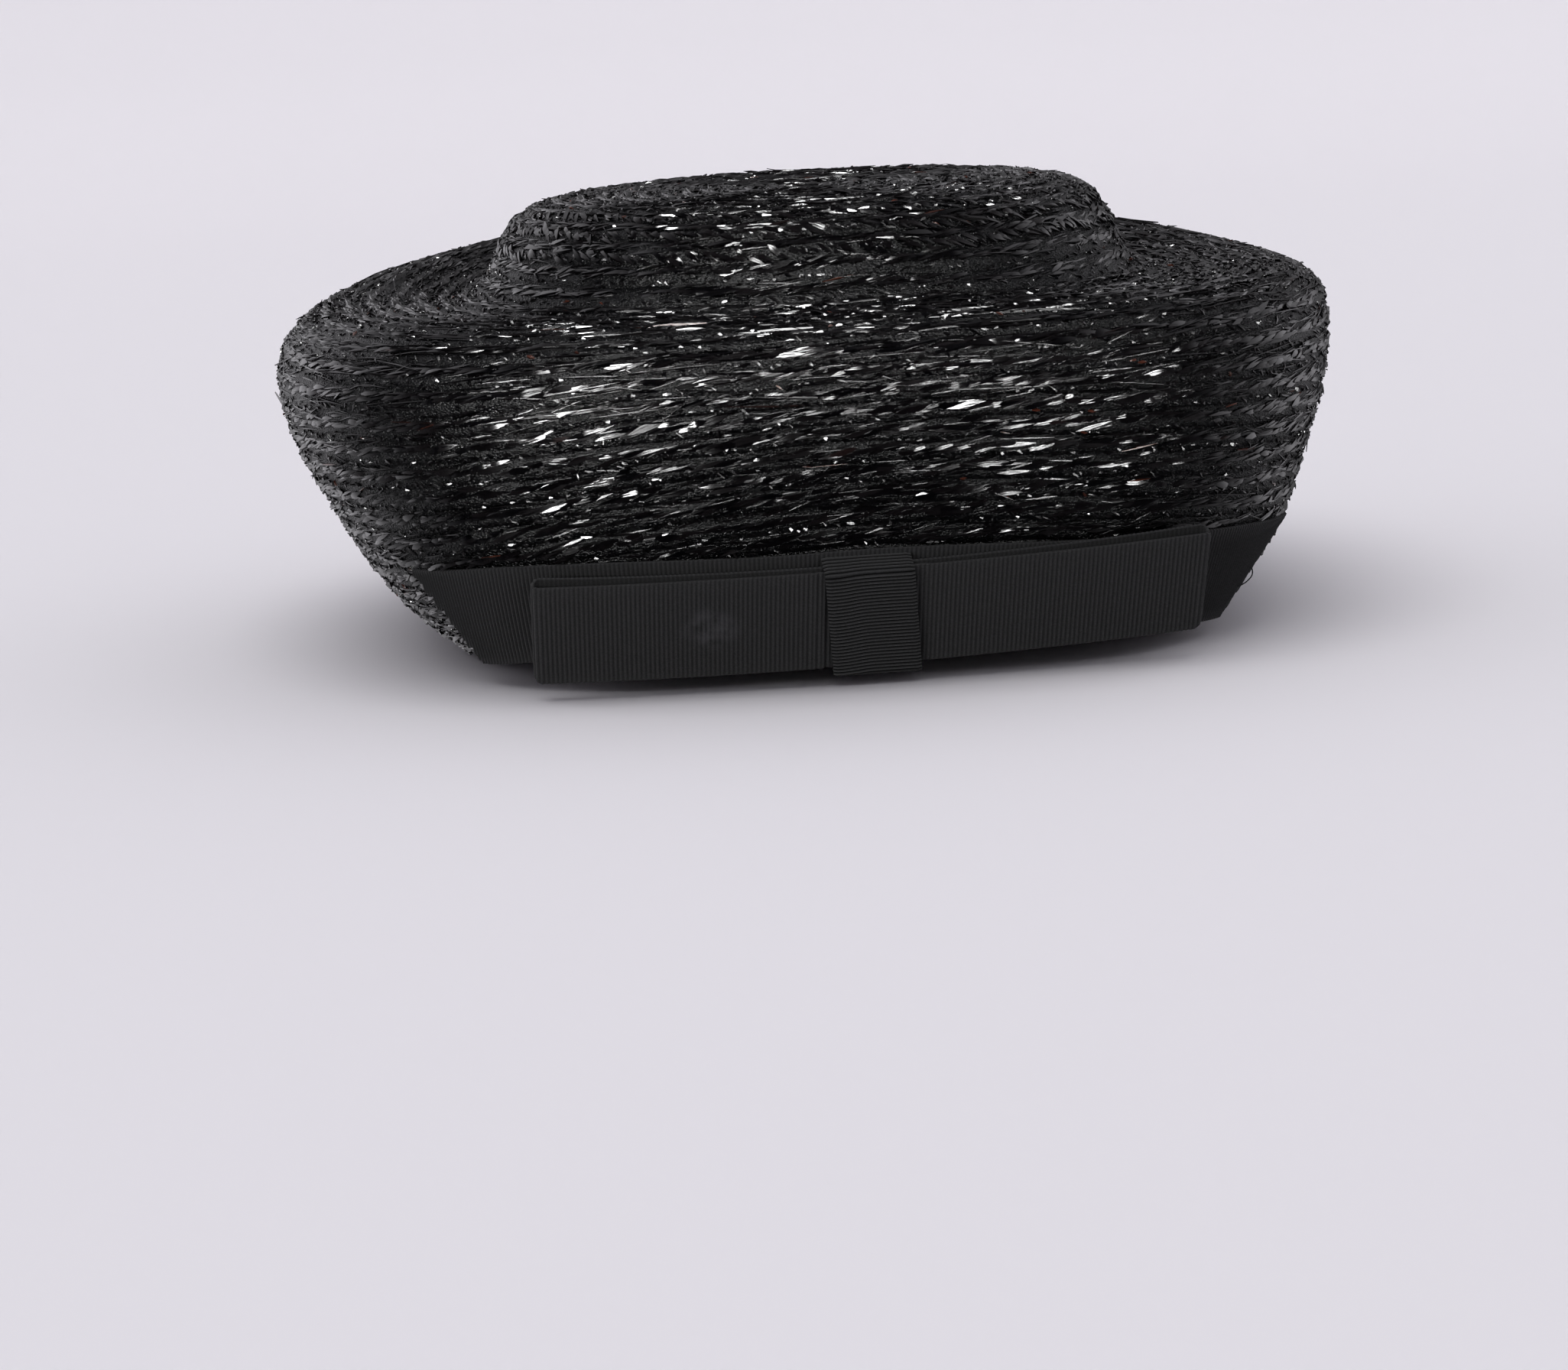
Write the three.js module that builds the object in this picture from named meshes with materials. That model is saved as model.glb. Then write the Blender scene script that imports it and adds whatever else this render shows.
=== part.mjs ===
// A pillbox hat of sewn straw plait with a grosgrain ribbon band and a flat bow at its front.
// Millimetres, +Z up. The front faces -Y, +X is on the right of someone who looks at the front,
// and the origin is in the plane that the rim rests on, under the middle of the hat.
import * as THREE from "three";

// Straw body: one skin of plait, sewn round and round from the rim to the crown's centre.
const STRAW_WALL = 2.5;
const STRAW_FACETS_AROUND = 52;
const STRAW_FACETS_ALONG = 32;

// Its sections in order along the skin. Seen from above each is an oval of half_width by
// half_depth, moved sideways by shift. The exponents say how square the oval is in its front and
// back halves, 2 being an ellipse. front, right, back and left are its heights at those sides.
const SECTIONS = [
  // half_width, half_depth, front and back exponents, shift, front, right, back, left
  ["rim", 80.0, 91.5, 2.8, 2.3, 4.1, 8.5, 0.0, 0.0, 0.0],
  ["under band", 85.0, 96.0, 2.9, 2.3, 3.9, 14.0, 5.0, 5.0, 4.8],
  ["mid band", 91.2, 101.3, 3.1, 2.3, 3.4, 20.6, 11.7, 12.3, 11.3],
  ["band top", 97.7, 107.0, 3.1, 2.3, 2.4, 29.0, 22.3, 24.5, 21.8],
  ["lower wall", 103.2, 112.6, 3.0, 2.3, 0.9, 39.0, 35.3, 39.0, 34.8],
  ["upper wall", 108.9, 117.9, 2.9, 2.3, 0.0, 51.2, 49.2, 53.8, 48.5],
  ["widest", 110.9, 119.9, 2.8, 2.3, -0.3, 62.5, 61.4, 68.2, 60.5],
  ["shoulder", 110.1, 119.1, 2.7, 2.3, 0.7, 69.2, 69.6, 76.0, 67.2],
  ["ridge", 104.5, 113.5, 2.6, 2.3, 1.8, 72.6, 73.4, 81.2, 71.8],
  ["shelf", 92.6, 101.6, 2.4, 2.2, 2.6, 73.6, 73.0, 84.2, 73.8],
  ["shelf inside", 78.4, 87.4, 2.3, 2.2, 3.0, 73.0, 72.2, 82.8, 72.6],
  ["crown foot", 69.8, 78.8, 2.2, 2.1, 3.1, 75.0, 74.2, 82.4, 74.2],
  ["crown side", 66.7, 75.7, 2.2, 2.1, 3.0, 82.0, 82.0, 86.3, 81.5],
  ["crown edge", 63.9, 71.9, 2.1, 2.1, 3.2, 88.6, 89.0, 91.2, 87.6],
  ["crown border", 58.5, 66.0, 2.1, 2.1, 3.2, 92.0, 92.4, 93.0, 91.7],
  ["crown top", 29.3, 35.3, 2.0, 2.0, 3.2, 92.6, 93.0, 93.2, 92.8],
  ["crown centre", 0.0, 0.0, 2.0, 2.0, 3.2, 92.9, 92.9, 92.9, 92.9],
].map(([, half_width, half_depth, front_exponent, back_exponent, shift, ...heights]) => {
  const [front, right, back, left] = heights;
  const plan = { half_width, half_depth, front_exponent, back_exponent, shift };
  return { ...plan, front, right, back, left };
});

// Ribbon: one width and one thickness for the band, the bow and its knot.
const RIBBON_WIDTH = 25;
const RIBBON_THICKNESS = 0.9;
const GAP = 0.3; // between pieces that touch

// Band: sewn round the front of the wall, its ends cut on a slant and turned in at the rim.
// From the rim to its lower edge, along the wall.
const BAND_FROM_RIM = { left: 6.0, middle: 0.8, right: 2.0 };
const BAND_ENDS_TOP = [-49.5, 58].map(THREE.MathUtils.degToRad);
const BAND_ENDS_BOTTOM = [-62, 66].map(THREE.MathUtils.degToRad);
const BAND_FACETS_ALONG = 60;
const BAND_FACETS_ACROSS = 5;

// Bow: a strip folded into two flat loops. It lies on the band in its middle and its ends stand
// off the wall, because it bends less than the wall does.
const BOW_HALF_LENGTH = 65.9;
const BOW_MIDDLE = new THREE.Vector3(3.6, -102.8, 15.2);
const BOW_BEND_RADIUS = 440;
const BOW_ROLL = 0.0175; // rise to the right for each millimetre
const BOW_LIFT = 1.3; // of both ends
const BOW_LEAN = THREE.MathUtils.degToRad(56.5); // of its width above the horizontal
const BOW_OPEN_MIDDLE = 0.75; // half the distance between its two layers
const BOW_OPEN_END = 2.0;
const BOW_FACETS_ALONG = 18;
const BOW_FACETS_FOLD = 6;

// Knot: a narrower strip round the middle of the bow, from over the band to under the rim.
const KNOT_WIDTH = 17.5;
const KNOT_ABOVE_BAND = 0.75;
const KNOT_BELOW_RIM = 2.0;
const KNOT_SHIFT = -0.4; // of its middle, to the right of the bow's
const KNOT_SLANT = -0.1; // sideways for each millimetre of height
const KNOT_FACETS = 8;

// The meridian curve at an azimuth, which is 0 at the front and a quarter turn at the right.
function meridian(azimuth) {
  const forward = Math.cos(azimuth);
  const sideways = Math.sin(azimuth);
  const points = SECTIONS.map((section) => {
    const power = forward > 0 ? section.front_exponent : section.back_exponent;
    const across = Math.abs(sideways) / Math.max(section.half_width, 1e-6);
    const along = Math.abs(forward) / Math.max(section.half_depth, 1e-6);
    const radius = (across ** power + along ** power) ** (-1 / power);
    const lengthwise = forward > 0 ? section.front : section.back;
    const crosswise = sideways > 0 ? section.right : section.left;
    const height = lengthwise * forward ** 2 + crosswise * sideways ** 2;
    return new THREE.Vector3(section.shift + radius * sideways, -radius * forward, height);
  });
  return new THREE.CatmullRomCurve3(points, false, "centripetal");
}

// The point at a distance from the rim along the wall. Below the rim the wall's slope goes on.
function wallPoint(azimuth, distance) {
  const curve = meridian(azimuth);
  if (distance < 0) {
    return curve.getPointAt(0).addScaledVector(curve.getTangentAt(0), distance);
  }
  return curve.getPointAt(Math.min(distance / curve.getLength(), 1));
}

// The wall's outward normal there.
function wallNormal(azimuth, distance) {
  const angleStep = 0.01;
  const step = 0.5;
  const low = Math.max(distance - step, 0);
  const up = wallPoint(azimuth, low + 2 * step).sub(wallPoint(azimuth, low));
  const round = wallPoint(azimuth + angleStep, distance).sub(wallPoint(azimuth - angleStep, distance));
  return round.cross(up).normalize();
}

// A point that stands off the wall along its normal.
function offWall(azimuth, distance, standOff) {
  return wallPoint(azimuth, distance).addScaledVector(wallNormal(azimuth, distance), standOff);
}

// A closed body between two grids of points, front and back, each a list of rows.
// With joined, the last row meets the first.
function layer(front, back, joined) {
  const rows = front.length;
  const columns = front[0].length;
  const positions = [];
  const triangle = (a, b, c) => {
    const flat = a.distanceTo(b) < 1e-4 || b.distanceTo(c) < 1e-4 || c.distanceTo(a) < 1e-4;
    if (!flat) {
      positions.push(...a.toArray(), ...b.toArray(), ...c.toArray());
    }
  };
  const quad = (a, b, c, d) => {
    triangle(a, b, c);
    triangle(a, c, d);
  };
  for (let i = 0; i < (joined ? rows : rows - 1); i += 1) {
    const next = (i + 1) % rows;
    for (let j = 0; j < columns - 1; j += 1) {
      quad(front[i][j], front[next][j], front[next][j + 1], front[i][j + 1]);
      quad(back[i][j], back[i][j + 1], back[next][j + 1], back[next][j]);
    }
    const last = columns - 1;
    quad(front[i][0], back[i][0], back[next][0], front[next][0]);
    quad(front[i][last], front[next][last], back[next][last], back[i][last]);
  }
  if (!joined) {
    const end = rows - 1;
    for (let j = 0; j < columns - 1; j += 1) {
      quad(front[0][j], front[0][j + 1], back[0][j + 1], back[0][j]);
      quad(front[end][j], back[end][j], back[end][j + 1], front[end][j + 1]);
    }
  }
  const geometry = new THREE.BufferGeometry();
  geometry.setAttribute("position", new THREE.Float32BufferAttribute(positions, 3));
  geometry.computeVertexNormals();
  return geometry;
}

// Numbers from low to high in equal steps.
function steps(low, high, count) {
  return Array.from({ length: count + 1 }, (_, i) => low + ((high - low) * i) / count);
}

// Straw body: the skin and its inner side, which close on a flat edge at the rim.
function strawBody() {
  const outside = [];
  const inside = [];
  for (const azimuth of steps(0, 2 * Math.PI, STRAW_FACETS_AROUND).slice(0, -1)) {
    const length = meridian(azimuth).getLength();
    const distances = steps(0, length, STRAW_FACETS_ALONG);
    outside.push(distances.map((distance) => wallPoint(azimuth, distance)));
    inside.push(
      distances.map((distance, j) => {
        const point = wallPoint(azimuth, distance);
        if (j === STRAW_FACETS_ALONG) {
          return point.add(new THREE.Vector3(0, 0, -STRAW_WALL));
        }
        const normal = wallNormal(azimuth, distance);
        if (j === 0) {
          const level = normal.clone().setZ(0);
          return point.addScaledVector(level.divideScalar(level.lengthSq()), -STRAW_WALL);
        }
        return point.addScaledVector(normal, -STRAW_WALL);
      }),
    );
  }
  return layer(outside, inside, true);
}

// Band: a strip that lies along the wall.
function ribbonBand() {
  const mix = THREE.MathUtils.lerp;
  const grid = (standOff) =>
    steps(0, 1, BAND_FACETS_ALONG).map((along) =>
      steps(0, 1, BAND_FACETS_ACROSS).map((across) => {
        const [start, end] = [0, 1].map((i) => mix(BAND_ENDS_BOTTOM[i], BAND_ENDS_TOP[i], across));
        const { left, middle, right } = BAND_FROM_RIM;
        const fromMiddle = 2 * along - 1;
        const fromRim = mix(middle, fromMiddle < 0 ? left : right, fromMiddle ** 2);
        const distance = fromRim + across * RIBBON_WIDTH;
        return offWall(mix(start, end, along), distance, standOff);
      }),
    );
  return layer(grid(GAP + RIBBON_THICKNESS), grid(GAP), false);
}

// The bow's middle plane at a distance along it: a point, its normal, and the directions of its
// width and its length. Its width leans the same way all along it.
function bowFrame(along) {
  const turn = Math.asin(along / BOW_BEND_RADIUS);
  const point = new THREE.Vector3(
    along,
    BOW_BEND_RADIUS * (1 - Math.cos(turn)),
    BOW_ROLL * along + BOW_LIFT * (along / BOW_HALF_LENGTH) ** 2,
  ).add(BOW_MIDDLE);
  const across = new THREE.Vector3(0, -Math.cos(BOW_LEAN), Math.sin(BOW_LEAN));
  const length = new THREE.Vector3(Math.cos(turn), Math.sin(turn), BOW_ROLL);
  const normal = length.clone().cross(across).normalize();
  return { point, normal, across, length: across.clone().cross(normal).normalize() };
}

// Bow: one strip that runs along the front, folds, and returns along the back.
function bow() {
  const straight = BOW_HALF_LENGTH - BOW_OPEN_END;
  const opening = (along) =>
    THREE.MathUtils.lerp(BOW_OPEN_MIDDLE, BOW_OPEN_END, (along / straight) ** 2);
  const route = [];
  for (const side of [1, -1]) {
    for (const along of steps(-side * straight, side * straight, BOW_FACETS_ALONG)) {
      const { point, normal, across } = bowFrame(along);
      const outward = normal.multiplyScalar(side);
      route.push({ centre: point.addScaledVector(outward, opening(along)), outward, across });
    }
    const { point, normal, across, length } = bowFrame(side * straight);
    for (const angle of steps(0, Math.PI, BOW_FACETS_FOLD).slice(1, -1)) {
      const outward = normal.clone().multiplyScalar(side * Math.cos(angle));
      outward.addScaledVector(length, side * Math.sin(angle));
      const centre = point.clone().addScaledVector(outward, BOW_OPEN_END);
      route.push({ centre, outward, across });
    }
  }
  const grid = (offset) =>
    route.map(({ centre, outward, across }) =>
      [-1, 1].map((edge) =>
        centre
          .clone()
          .addScaledVector(outward, offset)
          .addScaledVector(across, (edge * RIBBON_WIDTH) / 2),
      ),
    );
  return layer(grid(RIBBON_THICKNESS / 2), grid(-RIBBON_THICKNESS / 2), true);
}

// Knot: a strip that comes out over the band's upper edge, goes down over the bow, and turns in
// under the rim. Its route is a list of distances along the wall and off it.
function bowKnot() {
  const { point, normal, across } = bowFrame(0);
  const half = RIBBON_THICKNESS / 2;
  const front = BOW_OPEN_MIDDLE + RIBBON_THICKNESS / 2 + GAP + half;
  const topDistance = BAND_FROM_RIM.middle + RIBBON_WIDTH + KNOT_ABOVE_BAND;
  const start = offWall(0, topDistance, GAP + half);
  const end = offWall(0, -KNOT_BELOW_RIM, GAP + half);
  const onBow = (height) =>
    point.clone().addScaledVector(normal, front).addScaledVector(across, height);
  const top = onBow(start.clone().sub(point).dot(across));
  const bottom = onBow(end.clone().sub(point).dot(across));
  const route = [start, top, bottom, end];
  const sides = route.map((_, i) => {
    const before = i > 0 ? route[i].clone().sub(route[i - 1]).normalize() : null;
    const after = i < route.length - 1 ? route[i + 1].clone().sub(route[i]).normalize() : null;
    const left = (direction) => new THREE.Vector3(0, direction.z, -direction.y);
    const miter = [before, after].filter(Boolean).map(left);
    const sum = miter.reduce((a, b) => a.clone().add(b)).normalize();
    return sum.divideScalar(sum.dot(miter[0]));
  });
  const grid = (offset) =>
    steps(-0.5, 0.5, KNOT_FACETS).map((place) =>
      route
        .map((centre, i) => {
          const corner = centre.clone().addScaledVector(sides[i], offset);
          const middle = BOW_MIDDLE.x + KNOT_SHIFT + KNOT_SLANT * (corner.z - BOW_MIDDLE.z);
          return corner.setX(middle + place * KNOT_WIDTH);
        })
        .reverse(),
    );
  return layer(grid(half), grid(-half), false);
}

const strawFinish = new THREE.MeshStandardMaterial({ color: 0x17171a, roughness: 0.3, metalness: 0 });
const ribbonFinish = new THREE.MeshStandardMaterial({ color: 0x26262a, roughness: 0.85, metalness: 0 });

const hat = new THREE.Group();
const pieces = [
  ["straw_body", strawBody(), strawFinish],
  ["ribbon_band", ribbonBand(), ribbonFinish],
  ["bow", bow(), ribbonFinish],
  ["bow_knot", bowKnot(), ribbonFinish],
];
for (const [name, geometry, finish] of pieces) {
  const mesh = new THREE.Mesh(geometry, finish);
  mesh.name = name;
  hat.add(mesh);
}

export default hat;
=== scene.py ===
# %% [markdown]
# # A black straw pillbox hat with a grosgrain bow
# The real hat is made of four things. A narrow plait of glossy black straw is sewn round and
# round into one stiff skin. A grosgrain ribbon lies round the front of the rim, a flat bow of the
# same ribbon sits on it, and a short strip holds the bow in its middle. This file keeps the
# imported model's shapes and places, and gives each of them its real surface.

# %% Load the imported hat
import math

import bpy
import numpy as np
from mathutils import Matrix, Vector
from mathutils.bvhtree import BVHTree


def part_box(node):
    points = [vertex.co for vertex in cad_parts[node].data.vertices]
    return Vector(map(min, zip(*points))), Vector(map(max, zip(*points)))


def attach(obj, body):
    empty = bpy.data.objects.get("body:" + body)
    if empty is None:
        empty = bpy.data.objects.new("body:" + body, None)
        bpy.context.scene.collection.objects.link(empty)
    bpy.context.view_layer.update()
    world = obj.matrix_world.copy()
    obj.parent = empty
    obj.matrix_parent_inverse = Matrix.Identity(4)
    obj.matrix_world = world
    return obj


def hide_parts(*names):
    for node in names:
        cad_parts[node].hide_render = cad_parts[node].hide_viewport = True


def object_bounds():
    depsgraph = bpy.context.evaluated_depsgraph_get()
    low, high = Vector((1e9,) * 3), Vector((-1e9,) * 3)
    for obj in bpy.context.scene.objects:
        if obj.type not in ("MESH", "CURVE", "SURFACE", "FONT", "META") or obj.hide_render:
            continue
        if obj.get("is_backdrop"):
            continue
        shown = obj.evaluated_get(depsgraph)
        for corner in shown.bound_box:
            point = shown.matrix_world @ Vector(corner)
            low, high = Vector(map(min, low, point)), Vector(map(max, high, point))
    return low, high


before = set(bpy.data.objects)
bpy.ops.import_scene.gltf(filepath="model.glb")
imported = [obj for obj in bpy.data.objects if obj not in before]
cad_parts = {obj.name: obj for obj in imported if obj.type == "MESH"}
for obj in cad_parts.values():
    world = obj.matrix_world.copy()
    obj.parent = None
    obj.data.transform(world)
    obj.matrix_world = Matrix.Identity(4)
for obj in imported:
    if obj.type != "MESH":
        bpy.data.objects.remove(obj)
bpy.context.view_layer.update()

MM = 0.001

# %% [markdown]
# ## Selecting
# An operator works on whatever is selected, and the loaded nodes are all selected. So each step
# begins by deselecting everything and picking the one object that it works on.

# %% Helpers
def pick(obj):
    bpy.ops.object.select_all(action="DESELECT")
    obj.select_set(True)
    bpy.context.view_layer.objects.active = obj


def edit_whole(obj, operator, **settings):
    """Runs one mesh operator on everything in an object."""
    pick(obj)
    bpy.ops.object.mode_set(mode="EDIT")
    bpy.ops.mesh.select_all(action="SELECT")
    operator(**settings)
    bpy.ops.object.mode_set(mode="OBJECT")


def set_up(node, **values):
    """Each value goes to the node's input of that name, or else to that setting."""
    for name, value in values.items():
        label = name.replace("_", " ")
        if label in node.inputs:
            node.inputs[label].default_value = value
        else:
            setattr(node, name, value)
    return node


def new_node(nodes, kind, **values):
    return set_up(nodes.new("ShaderNode" + kind), **values)


def join(links, *joints):
    """Each joint is a node and its output, then the next node and its input."""
    for source, output, target, into in joints:
        links.new(source.outputs[output], target.inputs[into])


# %% [markdown]
# ## The camera
# The hat is looked at from just above its middle, a little to its left, and with a slight tilt
# of the head. A long lens from 0.9 m keeps the hat's shape calm. The camera is turned down a
# little after it is aimed, so that the hat sits in the upper part of the view with room below.

# %% Camera
AZIMUTH, ELEVATION, ROLL = (math.radians(v) for v in (-5.5, 6.38, 2.94))
AIM = Vector((2.7 * MM, 0.0, 41.5 * MM))
CAMERA_DISTANCE = 0.9
LENS, SENSOR = 94.37, 36.0
TURN_LEFT, TURN_DOWN = math.radians(0.356), math.radians(3.626)

back = Vector((
    math.sin(AZIMUTH) * math.cos(ELEVATION),
    -math.cos(AZIMUTH) * math.cos(ELEVATION),
    math.sin(ELEVATION),
))
right = Vector((0, 0, 1)).cross(back).normalized()
aimed = Matrix((right, back.cross(right), back)).transposed()
turned = (
    aimed
    @ Matrix.Rotation(-ROLL, 3, "Z")
    @ Matrix.Rotation(TURN_LEFT, 3, "Y")
    @ Matrix.Rotation(-TURN_DOWN, 3, "X")
)
bpy.ops.object.camera_add()
camera = bpy.context.object
camera.name = "camera"
camera.data.lens = LENS
camera.data.sensor_width = SENSOR
camera.data.clip_start = 0.01
camera.matrix_world = Matrix.Translation(AIM + back * CAMERA_DISTANCE) @ turned.to_4x4()
bpy.context.scene.camera = camera
print("camera stands at", [round(v, 3) for v in camera.location])

# %% [markdown]
# ## The floor
# A flat floor would show its far edge, and a backdrop would be in the way from behind. A very
# wide dish has neither fault: its middle is flat, and its rim curves up out of sight all round.
# It starts as a disc, and its edge is extruded outwards and upwards a few times.

# %% Floor
FLOOR_RADIUS = 1.7
FLOOR_STEPS = [(1.12, 0.02), (1.10, 0.07), (1.08, 0.15), (1.05, 0.25), (1.02, 0.4), (1.0, 0.6)]

pale = bpy.data.materials.new("pale_floor")
pale.use_nodes = True
pale_shader = pale.node_tree.nodes["Principled BSDF"]
set_up(pale_shader, Base_Color=(0.82, 0.80, 0.82, 1), Roughness=1.0, Specular_IOR_Level=0.0)

bpy.ops.object.select_all(action="DESELECT")
bpy.ops.mesh.primitive_circle_add(vertices=96, radius=FLOOR_RADIUS, fill_type="NGON")
floor = bpy.context.object
floor.name = "floor"
bpy.ops.object.mode_set(mode="EDIT")
bpy.ops.mesh.select_mode(type="EDGE")
bpy.ops.mesh.select_all(action="SELECT")
bpy.ops.mesh.inset(thickness=0.3)
bpy.ops.mesh.select_all(action="SELECT")
bpy.ops.mesh.region_to_loop()
for outwards, upwards in FLOOR_STEPS:
    bpy.ops.mesh.extrude_edges_move(TRANSFORM_OT_translate={"value": (0, 0, upwards)})
    bpy.ops.transform.resize(value=(outwards, outwards, 1))
bpy.ops.object.mode_set(mode="OBJECT")
bpy.ops.object.shade_smooth()
floor.data.materials.append(pale)
floor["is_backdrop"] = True
print("floor dish is", round(max(floor.dimensions), 2), "m across")

# %% [markdown]
# ## The light
# Black gloss shows nothing of itself: what the eye sees is what it mirrors. So the world has two
# faces, and a Light Path node chooses between them. Matt things are lit by an even, pale room
# and a soft sun. Mirror rays meet a room that is brightest behind the hat on both sides, about
# an eighth as bright straight behind it, nearly black in front, and dimmer towards the floor.
# Four strips of light in front give the white glints on strands that happen to face them. The
# strips are wide and low, so the glints come out long and thin.

# %% World
world = bpy.data.worlds.new("soft_room")
bpy.context.scene.world = world
world.use_nodes = True
room, room_links = world.node_tree.nodes, world.node_tree.links
even = room["Background"]
set_up(even, Color=(0.93, 0.93, 1.0, 1), Strength=0.66)
mirrored = new_node(room, "Background", Color=(0.97, 0.95, 1.0, 1))
way = new_node(room, "TexCoord")
parts = new_node(room, "SeparateXYZ")
behind = new_node(
    room, "MapRange", interpolation_type="SMOOTHSTEP", From_Min=-0.30, From_Max=0.75,
    To_Min=0.03, To_Max=1.25,
)
is_mirrored = new_node(room, "LightPath")
choose = new_node(room, "MixShader")
turned_room = new_node(room, "Mapping", Rotation=(0, 0, math.radians(12)))
join(
    room_links,
    (way, "Generated", turned_room, "Vector"),
    (turned_room, "Vector", parts, "Vector"),
)
sideways_on = new_node(room, "Math", operation="ABSOLUTE")
flank = new_node(
    room, "MapRange", interpolation_type="SMOOTHSTEP", From_Min=0.22, From_Max=0.75,
    To_Min=0.13,
)
low_down = new_node(room, "MapRange", From_Min=-0.7, From_Max=0.1, To_Min=0.28)
dimmed, shaped = room.new("ShaderNodeMath"), room.new("ShaderNodeMath")
dimmed.operation = shaped.operation = "MULTIPLY"
join(
    room_links,
    (parts, "Y", behind, "Value"),
    (parts, "Z", low_down, "Value"),
    (behind, "Result", dimmed, 0),
    (low_down, "Result", dimmed, 1),
    (parts, "X", sideways_on, 0),
    (sideways_on, "Value", flank, "Value"),
    (dimmed, "Value", shaped, 0),
    (flank, "Result", shaped, 1),
    (shaped, "Value", mirrored, "Strength"),
    (is_mirrored, "Is Glossy Ray", choose, "Fac"),
    (even, "Background", choose, 1),
    (mirrored, "Background", choose, 2),
)
room_links.new(choose.outputs["Shader"], room["World Output"].inputs["Surface"])
floor.visible_glossy = False

# %% Lamps
def glint_lamp(name, place, wide, high, watts):
    """A strip of light that only shows as glints on gloss."""
    bpy.ops.object.light_add(type="AREA", location=place)
    lamp = bpy.context.object
    lamp.name = name
    lamp.data.shape = "RECTANGLE"
    lamp.data.size = wide
    lamp.data.size_y = high
    lamp.data.energy = watts
    lamp.rotation_euler = (Vector(place) - AIM).to_track_quat("Z", "Y").to_euler()
    lamp.visible_diffuse = False


bpy.ops.object.light_add(type="SUN", location=(-0.3, -0.4, 1.5))
daylight = bpy.context.object
daylight.name = "daylight"
daylight.data.energy = 1.05
daylight.data.angle = math.radians(50)
daylight.rotation_euler = (math.radians(22), math.radians(-10), 0)
daylight.visible_glossy = False
glint_lamp("glint_left", (-0.58, -0.74, 0.10), 0.60, 0.09, 17.0)
glint_lamp("glint_middle", (-0.12, -0.90, 0.32), 0.80, 0.04, 2.6)
glint_lamp("glint_right", (0.46, -0.81, 0.14), 0.66, 0.06, 7.0)
glint_lamp("glint_high", (-0.16, -0.66, 0.68), 0.75, 0.07, 9.0)
bpy.context.scene.view_settings.view_transform = "Standard"

# %% [markdown]
# ## The straw skin as a smooth surface
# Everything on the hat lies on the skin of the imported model, which is made of flat facets. Its
# outer side is copied, turned into four-sided faces and subdivided, so that it is smooth. Rays
# from a point inside the hat then find it in every direction. The result is a table: for each
# direction round the hat, the points of the skin at equal distances from the rim to the middle
# of the crown.

# %% Smooth copy of the outer skin
HEART = Vector((3.0 * MM, 0.0, 50 * MM))

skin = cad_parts["straw_body"].copy()
skin.data = skin.data.copy()
skin.name = "smooth_skin"
skin.parent = None
bpy.context.scene.collection.objects.link(skin)
pick(skin)
bpy.ops.object.mode_set(mode="EDIT")
bpy.ops.mesh.select_mode(type="FACE")
bpy.ops.mesh.select_all(action="SELECT")
bpy.ops.mesh.remove_doubles(threshold=0.01 * MM)
bpy.ops.mesh.select_all(action="DESELECT")
bpy.ops.object.mode_set(mode="OBJECT")
for face in skin.data.polygons:
    away = (face.center - HEART).dot(face.normal)
    face.select = away < 0 or face.normal.z < -0.9
bpy.ops.object.mode_set(mode="EDIT")
bpy.ops.mesh.delete(type="FACE")
bpy.ops.mesh.select_all(action="SELECT")
bpy.ops.mesh.tris_convert_to_quads(face_threshold=math.pi, shape_threshold=math.pi)
bpy.ops.object.mode_set(mode="OBJECT")
subdivide = skin.modifiers.new("smooth", "SUBSURF")
subdivide.levels = subdivide.render_levels = 2
bpy.ops.object.modifier_apply(modifier="smooth")
print("smooth skin faces:", len(skin.data.polygons))

# %% Table of the skin
DIRECTIONS = 240
STEP = 0.5 * MM

tree = BVHTree.FromPolygons(
    [v.co for v in skin.data.vertices], [p.vertices for p in skin.data.polygons]
)


def seen_from_heart(azimuth, elevation):
    level = math.cos(elevation)
    ray = Vector((math.sin(azimuth) * level, -math.cos(azimuth) * level, math.sin(elevation)))
    return tree.ray_cast(HEART, ray)[0]


def meridian(azimuth):
    elevations = np.radians(np.arange(-40, 90.01, 0.25))
    found = [(e, seen_from_heart(azimuth, e)) for e in elevations]
    first = next(i for i, (_, point) in enumerate(found) if point is not None)
    missed, hit = elevations[first - 1], elevations[first]
    for _ in range(8):
        middle = (missed + hit) / 2
        if seen_from_heart(azimuth, middle) is None:
            missed = middle
        else:
            hit = middle
    points = [seen_from_heart(azimuth, hit)] + [p for _, p in found[first:] if p is not None]
    return np.array([tuple(p) for p in points])


table, full_length = [], []
for azimuth in np.linspace(0, 2 * math.pi, DIRECTIONS, endpoint=False):
    points = meridian(azimuth)
    along = np.r_[0, np.cumsum(np.linalg.norm(np.diff(points, axis=0), axis=1))]
    full_length.append(along[-1])
    stations = np.arange(0, 240 * MM, STEP)
    table.append(np.stack([np.interp(stations, along, points[:, i]) for i in range(3)], -1))
table, full_length = np.array(table), np.array(full_length)
bpy.data.objects.remove(skin)
print("from rim to crown centre, mm:", (full_length.min() / MM).round(1), (full_length.max() / MM).round(1))


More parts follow.
